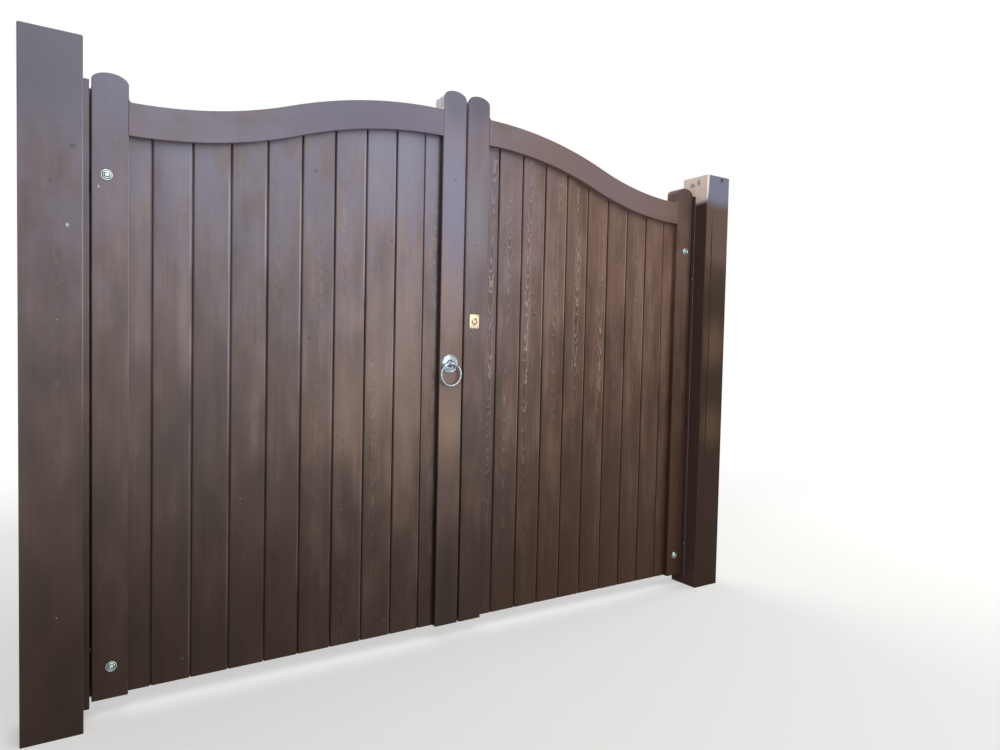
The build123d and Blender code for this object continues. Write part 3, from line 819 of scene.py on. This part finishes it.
def metal(name, bright, dull, smooth, rough, size, metallic=1.0, depth=0.0002):
    """A metal finish from the weathered metal group."""
    material, bench, shader = new_material(name)
    worn = bench.place("Group", {"node_tree": weathered.tree}, {
        "Place": bench.where(), "Bright": bright, "Dull": dull, "Smooth": smooth,
        "Rough": rough, "Size": size})
    grime_and_shade = bench.place("Attribute", {"attribute_name": "grime_and_shade"})["Fac"]
    bench.fill_all(shader, {
        "Base Color": bench.blend(grime_and_shade, worn["Colour"], dirt_and_shade_brown),
        "Roughness": bench.math("MAXIMUM", worn["Roughness"], bench.times(grime_and_shade, 0.6)),
        "Normal": bench.bump(0.5, depth, worn["Relief"]), "Metallic": metallic})
    return material


bright_plating = metal("bright_plating", (0.46, 0.52, 0.58), (0.22, 0.26, 0.3),
                       0.12, 0.3, 0.012)
milky_zinc = metal("milky_zinc", (0.7, 0.84, 0.84), (0.5, 0.64, 0.64), 0.26, 0.42, 0.006)
polished_brass = metal("polished_brass", (0.86, 0.74, 0.5), (0.74, 0.6, 0.37),
                       0.3, 0.44, 0.01)
black_paint = metal("black_paint", (0.02, 0.02, 0.021), (0.034, 0.031, 0.029),
                    0.38, 0.55, 0.009, metallic=0.0, depth=0.0006)
plated, zinc = (bright_plating, "bright_zinc"), (milky_zinc, "dull_zinc")
brass, ironwork = (polished_brass, "brass"), (black_paint, "black_ironwork")
painted = ("drop_bolt", "lock_case", "lock_keep", "handle_lifter", "handle_back_rose")
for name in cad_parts:
    if name.endswith(("_band", "_hook")) or name.startswith(painted):
        dress(name, black_paint)
    elif name in ("handle_spindle", "handle_ring", "handle_rose"):
        dress(name, bright_plating)
    elif name in ("lock_plate", "lock_cylinder"):
        dress(name, polished_brass)
print("metal finishes ready")

# %% [markdown]
# ## Round pieces on a lathe
#
# Roses, washers, bolt heads and knobs are round, so each starts as a profile, a
# chain of points written as radius and height in millimetres, and is spun about
# an axis. A third number darkens the metal at that point: grime and painted
# shade in a groove. Merging the ends closes the wall, and merging what lies on
# the axis closes the pole. Small fasteners are repeated many times: one is made,
# and copies of it are added to a piece wherever they sit.

# %% The lathe
def lathe(profile, steps):
    """A round shape from a profile of radius, height in millimetres, and a darkening of dirt and
    painted shade, if any.
    """
    shape = bmesh.new()
    grime_and_shade = shape.verts.layers.float.new("grime_and_shade")
    points = [shape.verts.new((step[0] / 1000, 0, step[1] / 1000)) for step in profile]
    for point, step in zip(points, profile):
        point[grime_and_shade] = step[2] if len(step) > 2 else 0.0
    edges = [shape.edges.new(pair) for pair in zip(points, points[1:])]
    bmesh.ops.spin(shape, geom=points + edges, axis=(0, 0, 1), cent=(0, 0, 0),
                   angle=2 * math.pi, steps=steps, use_merge=True)
    bmesh.ops.remove_doubles(shape, verts=shape.verts, dist=1e-6)
    return shape


def new_piece():
    """An empty bmesh whose points carry a darkening of dirt and painted shade."""
    piece = bmesh.new()
    piece.verts.layers.float.new("grime_and_shade")
    return piece


def add_copy(piece, part, at, facing=facing_street, spin=0.0):
    """Adds a copy of a part to a piece, at a place and facing one way."""
    copy = bpy.data.meshes.new("copy")
    part.to_mesh(copy)
    copy.transform(Matrix.Translation(at) @ facing @ Matrix.Rotation(spin, 4, "Z"))
    piece.from_mesh(copy)
    bpy.data.meshes.remove(copy)


def fasten(name, body, part, finish, places, facing=facing_garden):
    """One piece made of copies of a fastener, each with its place and its spin."""
    row = new_piece()
    for at, spin in places:
        add_copy(row, part, at, facing, spin)
    finish_piece(name, row, body, finish)


print("lathe ready")

# %% [markdown]
# ## Screws and hexagon heads
#
# A screw head is a thin disc with its rim eased and a recess for the driver.
# The recess is cut by slicing the top face with planes, then pushing the middle
# cells down. One slot suits the small brass screws, and a cross suits the rest.
# A hexagon head is a six-sided prism on a round collar. The screws on the
# garden side are soiled all over, because nobody cleans them.

# %% Make the fasteners once
def screw_head(radius, slot, length, cross, sides=16):
    """A screw head with a slot or a cross, sizes in millimetres."""
    head = new_piece()
    bmesh.ops.create_circle(head, cap_ends=True, segments=sides, radius=radius / 1000)
    top = only(bmesh.types.BMFace, push(head, head.faces[:], (0, 0, radius * 0.12 / 1000)))
    bmesh.ops.inset_region(head, faces=top, thickness=radius * 0.14 / 1000,
                           depth=radius * 0.06 / 1000)
    level = top[0].calc_center_median().z
    wide, long = slot / 2000, length / 2000
    for direction in ((1, 0, 0), (0, 1, 0)):
        for away in (-long, -wide, wide, long):
            faces = [f for f in head.faces if abs(f.calc_center_median().z - level) < 1e-6]
            parts = faces + [e for f in faces for e in f.edges]
            parts += [v for f in faces for v in f.verts]
            bmesh.ops.bisect_plane(head, geom=list(dict.fromkeys(parts)),
                                   plane_co=Vector(direction) * away, plane_no=direction)
    cells = []
    for face in head.faces:
        x, y, z = face.calc_center_median()
        along = abs(x) < wide and abs(y) < long
        sideways = cross and abs(y) < wide and abs(x) < long
        if abs(z - level) < 1e-6 and (along or sideways):
            cells.append(face)
    sunk = push(head, cells, (0, 0, -radius * 0.16 / 1000))
    # The sunk cells are darkened as grime and painted shade in the recess.
    for vertex in only(bmesh.types.BMVert, sunk):
        vertex[head.verts.layers.float["grime_and_shade"]] = 1.0
    return head


def soil(part, least):
    """Lays at least this much grime on every point of a part."""
    grime_and_shade = part.verts.layers.float["grime_and_shade"]
    for vertex in part.verts:
        vertex[grime_and_shade] = max(vertex[grime_and_shade], least)


def hexagon_head(flats, height, collar, tip=0.0):
    """A hexagon head or nut on its collar, with a bolt's tip if it has one."""
    thick = 1.7
    head = lathe([(0, 0), (collar, 0), (collar, 1.2), (collar - 0.6, thick), (0, thick)], 24)
    hexagon = bmesh.new()
    corner = flats / math.sqrt(3) / 1000
    bmesh.ops.create_cone(hexagon, cap_ends=True, segments=6, depth=height / 1000,
                          radius1=corner, radius2=corner)
    rim = [e for e in hexagon.edges if min(v.co.z for v in e.verts) > 0]
    round_edges(hexagon, rim, 0.0009, 2)
    add_copy(head, hexagon, (0, 0, (thick + height / 2) / 1000), Matrix.Identity(4))
    hexagon.free()
    if tip:
        base = thick + height
        end = lathe([(5, base - 1), (5, base + tip - 1), (4, base + tip), (0, base + tip)], 20)
        add_copy(head, end, (0, 0, 0), Matrix.Identity(4))
        end.free()
    return head


wood_screw = screw_head(4.2, 0.9, 4.6, cross=True)
rear_screw = screw_head(4.2, 0.9, 4.6, cross=True)
soil(rear_screw, 0.65)
brass_screw = screw_head(2.6, 0.55, 4.0, cross=False)
coach_screw = hexagon_head(13, 5.5, 8.5)
hinge_nut = hexagon_head(17, 8, 11, tip=4)
print("wood screw", len(wood_screw.faces), "faces; coach screw", len(coach_screw.faces), "faces")

# %% [markdown]
# ## The hinge bolts
#
# On the street side each hinge shows one bolt: a broad dished washer and a
# domed head with a ring round its middle. The concentric rings catch the light
# one after another, and the two grooves between them, and the washer's foot, are
# darkened as grime and painted shade. Behind the leaf the same bolt ends in a
# nut on the hinge band, and the other holes of the band hold coach screws.

# %% Bolt the bands and hooks
washer_and_head = lathe([
    (15, 0, 1), (15, 1.0), (14.5, 1.7), (13.5, 2.0), (12.9, 1.8), (12.7, 0.9, 1),
    (10.6, 0.9, 1), (10.4, 2.7), (9.8, 3.4), (8.8, 3.7), (8.1, 3.4), (7.9, 2.2, 1),
    (5.8, 2.2, 1), (5.6, 4.0), (4.9, 4.9), (3.4, 5.3), (0, 5.5),
], 40)
leaf_front, leaf_back, post_back = -0.007, 0.063, 0.075
iron_thick = 0.006
band_back, plate_back = leaf_back + iron_thick, post_back + iron_thick
band_bolts = {"lower": (0.15, 0.147), "upper": (1.5875, 0.135)}
last_screw = 0.51
plate_drop = 0.0894
plate_holes = [(x, up) for up in (0.017, 0.093) for x in (-0.008, 0.022)]
for side in sides:
    for height, (z, first) in band_bolts.items():
        bolt = new_piece()
        add_copy(bolt, washer_and_head, on_leaf(side, first, leaf_front, z))
        add_copy(bolt, hinge_nut, on_leaf(side, first, band_back, z), facing_garden, 0.3)
        finish_piece(f"{side}_{height}_hinge_bolt", bolt, side + "_leaf", zinc)
        fasten(f"{side}_{height}_band_screws", side + "_leaf", coach_screw, ironwork, [
            (on_leaf(side, first + (last_screw - first) * number / 3, band_back, z),
             0.5 * number) for number in (1, 2, 3)])
        fasten(f"{side}_{height}_hook_screws", "posts", coach_screw, ironwork, [
            (on_leaf(side, x, plate_back, z - plate_drop + up), 0.7 * number)
            for number, (x, up) in enumerate(plate_holes)])
print("12 sets of bolts and screws")

# %% [markdown]
# ## Screws through the ledges and braces
#
# The boards are held from behind. Two screws go through each ledge into every
# board, set off from each other so that they don't split it, and one through
# each brace where it crosses a board. They stay clear of the hinge bands.

# %% Screw the ledges and braces
board_middles = [(start + end) / 2 for start, end in zip(starts, ends)]
asides = [0.01] + [0.024] * (last - 1) + [0.01]
ledge_middles = {"bottom": (0.15, 0.052), "middle": (0.9, 0.045), "upper": (1.5875, 0.052)}
brace_ends = {"lower": (0.2225, 0.8275), "upper": (0.9725, 1.515)}
for side in sides:
    for part, (z, apart) in ledge_middles.items():
        fasten(f"{side}_{part}_ledge_screws", side + "_leaf", rear_screw, zinc, [
            (on_leaf(side, x - way * aside, leaf_back, z + way * apart), number * spin)
            for number, (x, aside) in enumerate(zip(board_middles, asides))
            for way, spin in ((1, 1.0), (-1, 1.7))])
    for part, (low, high) in brace_ends.items():
        climb = [low + (high - low) * (x - panel_start) / (panel_end - panel_start)
                 for x in board_middles[1:-1]]
        fasten(f"{side}_{part}_brace_screws", side + "_leaf", rear_screw, zinc, [
            (on_leaf(side, x, leaf_back, z), number * 0.9)
            for number, (x, z) in enumerate(zip(board_middles[1:-1], climb))])
fasten("right_packer_screws", "posts", wood_screw, zinc, [
    (on_leaf("right", 0.083, leaf_front, z), number)
    for number, z in enumerate((0.198, 1.463))], facing_street)
print("screws in 11 rows")

# %% [markdown]
# ## The ring handle's rose
#
# The rose is a round plate pressed from sheet and plated. It has a rolled bead
# at its rim, then swells into a dome, with a small collar round the spindle.
# The bead and the collar are what make it read as metal, because they bend the
# reflections.

# %% Turn the rose
handle_at = Vector((1.263, leaf_front, 1.053))
rose = new_piece()
# The groove round the collar and the rim of the bore are darkened: grime and painted shade.
rose_body = lathe([
    (6.2, 0), (33.6, 0), (34, 0.4), (34, 1.5), (33.4, 2.2), (32.2, 2.5), (31.0, 2.2),
    (30.2, 1.9), (29.4, 2.2), (26.0, 3.4), (22.0, 4.4), (18.0, 5.1), (15.5, 5.4),
    (14.4, 5.3), (13.9, 4.0, 1), (11.0, 4.0, 1), (10.5, 5.6), (9.8, 6.0), (7.6, 6.0),
    (7.2, 5.2, 1), (6.2, 5.2, 1), (6.2, 0),
], 64)
add_copy(rose, rose_body, handle_at)
bmesh.ops.remove_doubles(rose, verts=rose.verts, dist=1e-6)
finish_piece("ring_handle_rose", rose, "left_leaf", plated, ["handle_rose"])
print("rose turned")

# %% [markdown]
# ## The lock
#
# The lock shows a small brass plate with rounded corners and four slotted
# screws, and the round end of its cylinder, with a deep ring groove and the key
# slot. The plate is a block whose upright edges and front rim are beveled. The
# cylinder is turned, and its plug is a disc with a slot pushed in.

# %% Make the lock's plate and cylinder
lock_at = Vector((1.366, leaf_front, 1.215))
plate_thick = 0.002
plate = bmesh.new()
bmesh.ops.create_cube(plate, size=1)
bmesh.ops.scale(plate, vec=(0.0405, plate_thick, 0.0525), verts=plate.verts)
corners = [e for e in plate.edges if abs(e.verts[0].co.y - e.verts[1].co.y) > 0.001]
round_edges(plate, corners, 0.0042, 6)
rim = [e for e in plate.edges if all(v.co.y < 0 for v in e.verts)]
round_edges(plate, rim, 0.0005, 2)
bmesh.ops.translate(plate, vec=lock_at + Vector((0, -plate_thick / 2, 0)), verts=plate.verts)
finish_piece("lock_face_plate", plate, "right_leaf", brass, ["lock_plate"])

# A thin ring under each screw head is darkened: grime and painted shade.
screw_seat = lathe([(3.7, 0, 1), (3.7, 0.08, 1), (2.2, 0.08, 1), (2.2, 0, 1)], 24)
lock_screws = new_piece()
for number, (x, z) in enumerate(((-1, -1), (1, -1), (-1, 1), (1, 1))):
    here = lock_at + Vector((0.0148 * x, -plate_thick, 0.0205 * z))
    add_copy(lock_screws, screw_seat, here)
    add_copy(lock_screws, brass_screw, here, facing_street, 0.6 + 1.1 * number)
finish_piece("lock_plate_screws", lock_screws, "right_leaf", brass)

# The ring groove and the face round the plug are darkened: grime and painted shade.
barrel = lathe([(0, -70), (14.5, -70), (14.5, 3.6), (13.9, 4.6), (12.9, 5.0), (12.3, 4.6),
                (12.0, 2.4, 1), (9.7, 2.4, 1), (9.7, 1.5, 1), (0, 1.5, 1)], 48)
plug = screw_head(9.5, 2.2, 9.0, cross=False, sides=40)
soil(plug, 0.3)
bmesh.ops.scale(plug, vec=(1, 1, 1.9), verts=plug.verts)
cylinder = new_piece()
add_copy(cylinder, barrel, lock_at)
add_copy(cylinder, plug, lock_at + Vector((0, -0.0015, 0)))
finish_piece("lock_key_cylinder", cylinder, "right_leaf", brass, ["lock_cylinder"])
print("lock made")

# %% [markdown]
# ## Screws behind the leaf
#
# The lock case, its keep, the handle's back rose and the drop bolt's plate are
# screwed on from the garden side.

# %% Screw on the rear fittings
rear_fittings = {
    "lock_case_screws": ("right_leaf", 0.089,
                         [(x, z) for z in (1.183, 1.247) for x in (1.335, 1.393)]),
    "lock_keep_screws": ("left_leaf", 0.089, [(1.299, 1.186), (1.299, 1.244)]),
    "back_rose_screws": ("left_leaf", 0.067,
                         [(1.263, 1.069), (1.2766, 1.045), (1.2494, 1.045)]),
    "drop_bolt_screws": ("right_leaf", 0.067,
                         [(x, z) for x in (1.351, 1.391) for z in (0.2, 0.295, 0.39)]),
}
for name, (body, y, places) in rear_fittings.items():
    fasten(name, body, rear_screw, zinc,
           [((x, y, z), 0.8 * number) for number, (x, z) in enumerate(places)])
print("rear fittings screwed on")

# %% [markdown]
# ## The floor and the surround
#
# A pale floor and a pale surround show the gate without a background, and the
# floor keeps its shadow. Far from the gate the floor glows white, so that it
# runs into the surround without an edge.

# %% Lay the floor and set the surround
floor_shape = bmesh.new()
bmesh.ops.create_circle(floor_shape, cap_ends=True, segments=96, radius=40)
floor_mesh = bpy.data.meshes.new("studio_floor")
floor_shape.to_mesh(floor_mesh)
floor_shape.free()
show("studio_floor", floor_mesh)
floor_finish, bench, shader = new_material("studio_floor")
bench.fill_all(shader, {"Base Color": (0.74, 0.73, 0.71), "Roughness": 0.9,
                        "Specular IOR Level": 0.1})
far = bench.length("DISTANCE", bench.where(), (1.3, 0, 0))
glow = bench.place("Emission", None, {"Color": (1, 1, 1)})[0]
lift = bench.times(bench.place("LightPath")["Is Camera Ray"], 0.35)
white_share = bench.math("MAXIMUM", lift, bench.ramp(far, 1.4, 5.0))
seen = bench.place("MixShader", None, {0: white_share, 1: shader.outputs[0], 2: glow})[0]
bench.fill(bench.tree.nodes["Material Output"].inputs[0], seen)
floor_mesh.materials.append(floor_finish)

world = bpy.data.worlds.new("studio")
bpy.context.scene.world = world
world.use_nodes = True
bench = Bench(world.node_tree)
surround = bench.tree.nodes["Background"]
bench.fill_all(surround, {"Color": (0.96, 0.98, 1.0), "Strength": 0.28})
backdrop = bench.place("Background", None, {"Color": (1, 1, 1), "Strength": 1.0})[0]
rays = bench.place("LightPath")
plain = bench.math("MAXIMUM", rays["Is Camera Ray"], rays["Is Transmission Ray"])
plain = bench.math("MAXIMUM", plain, rays["Is Glossy Ray"])
sky = bench.place("MixShader", None, {0: plain, 1: surround.outputs[0], 2: backdrop})[0]
bench.fill(bench.tree.nodes["World Output"].inputs[0], sky)
print("floor and surround ready")

# %% [markdown]
# ## The light
#
# A cool lamp as wide as the gateway stands before it like a window, a broad
# lamp hangs above, one stands at the right, and one lights the back. The world
# gives the rest.

# %% Hang the lamps
gateway_middle = Vector((1.32, 0, 1.0))
warm_white = (1.0, 0.98, 0.95)


def lamp(name, at, size, power, colour):
    """A soft lamp of this width and height, aimed at the middle of the gateway."""
    data = bpy.data.lights.new(name, "AREA")
    data.shape = "RECTANGLE"
    data.size, data.size_y = size
    data.energy = power
    data.color = colour
    light = show(name, data)
    light.location = at
    aim = gateway_middle - Vector(at)
    light.rotation_euler = aim.to_track_quat("-Z", "Y").to_euler()


lamp("window", (2.0, -4.2, 2.4), (3.9, 2.6), 50, (0.78, 0.88, 1.0))
lamp("ceiling", (1.3, -3.5, 5.5), (5.0, 4.0), 190, warm_white)
lamp("right_side", (6.4, -0.5, 2.0), (2.5, 2.5), 130, warm_white)
lamp("behind", (1.3, 4.5, 3.6), (4.0, 3.0), 150, (1.0, 1.0, 1.0))
print("four lamps hung")
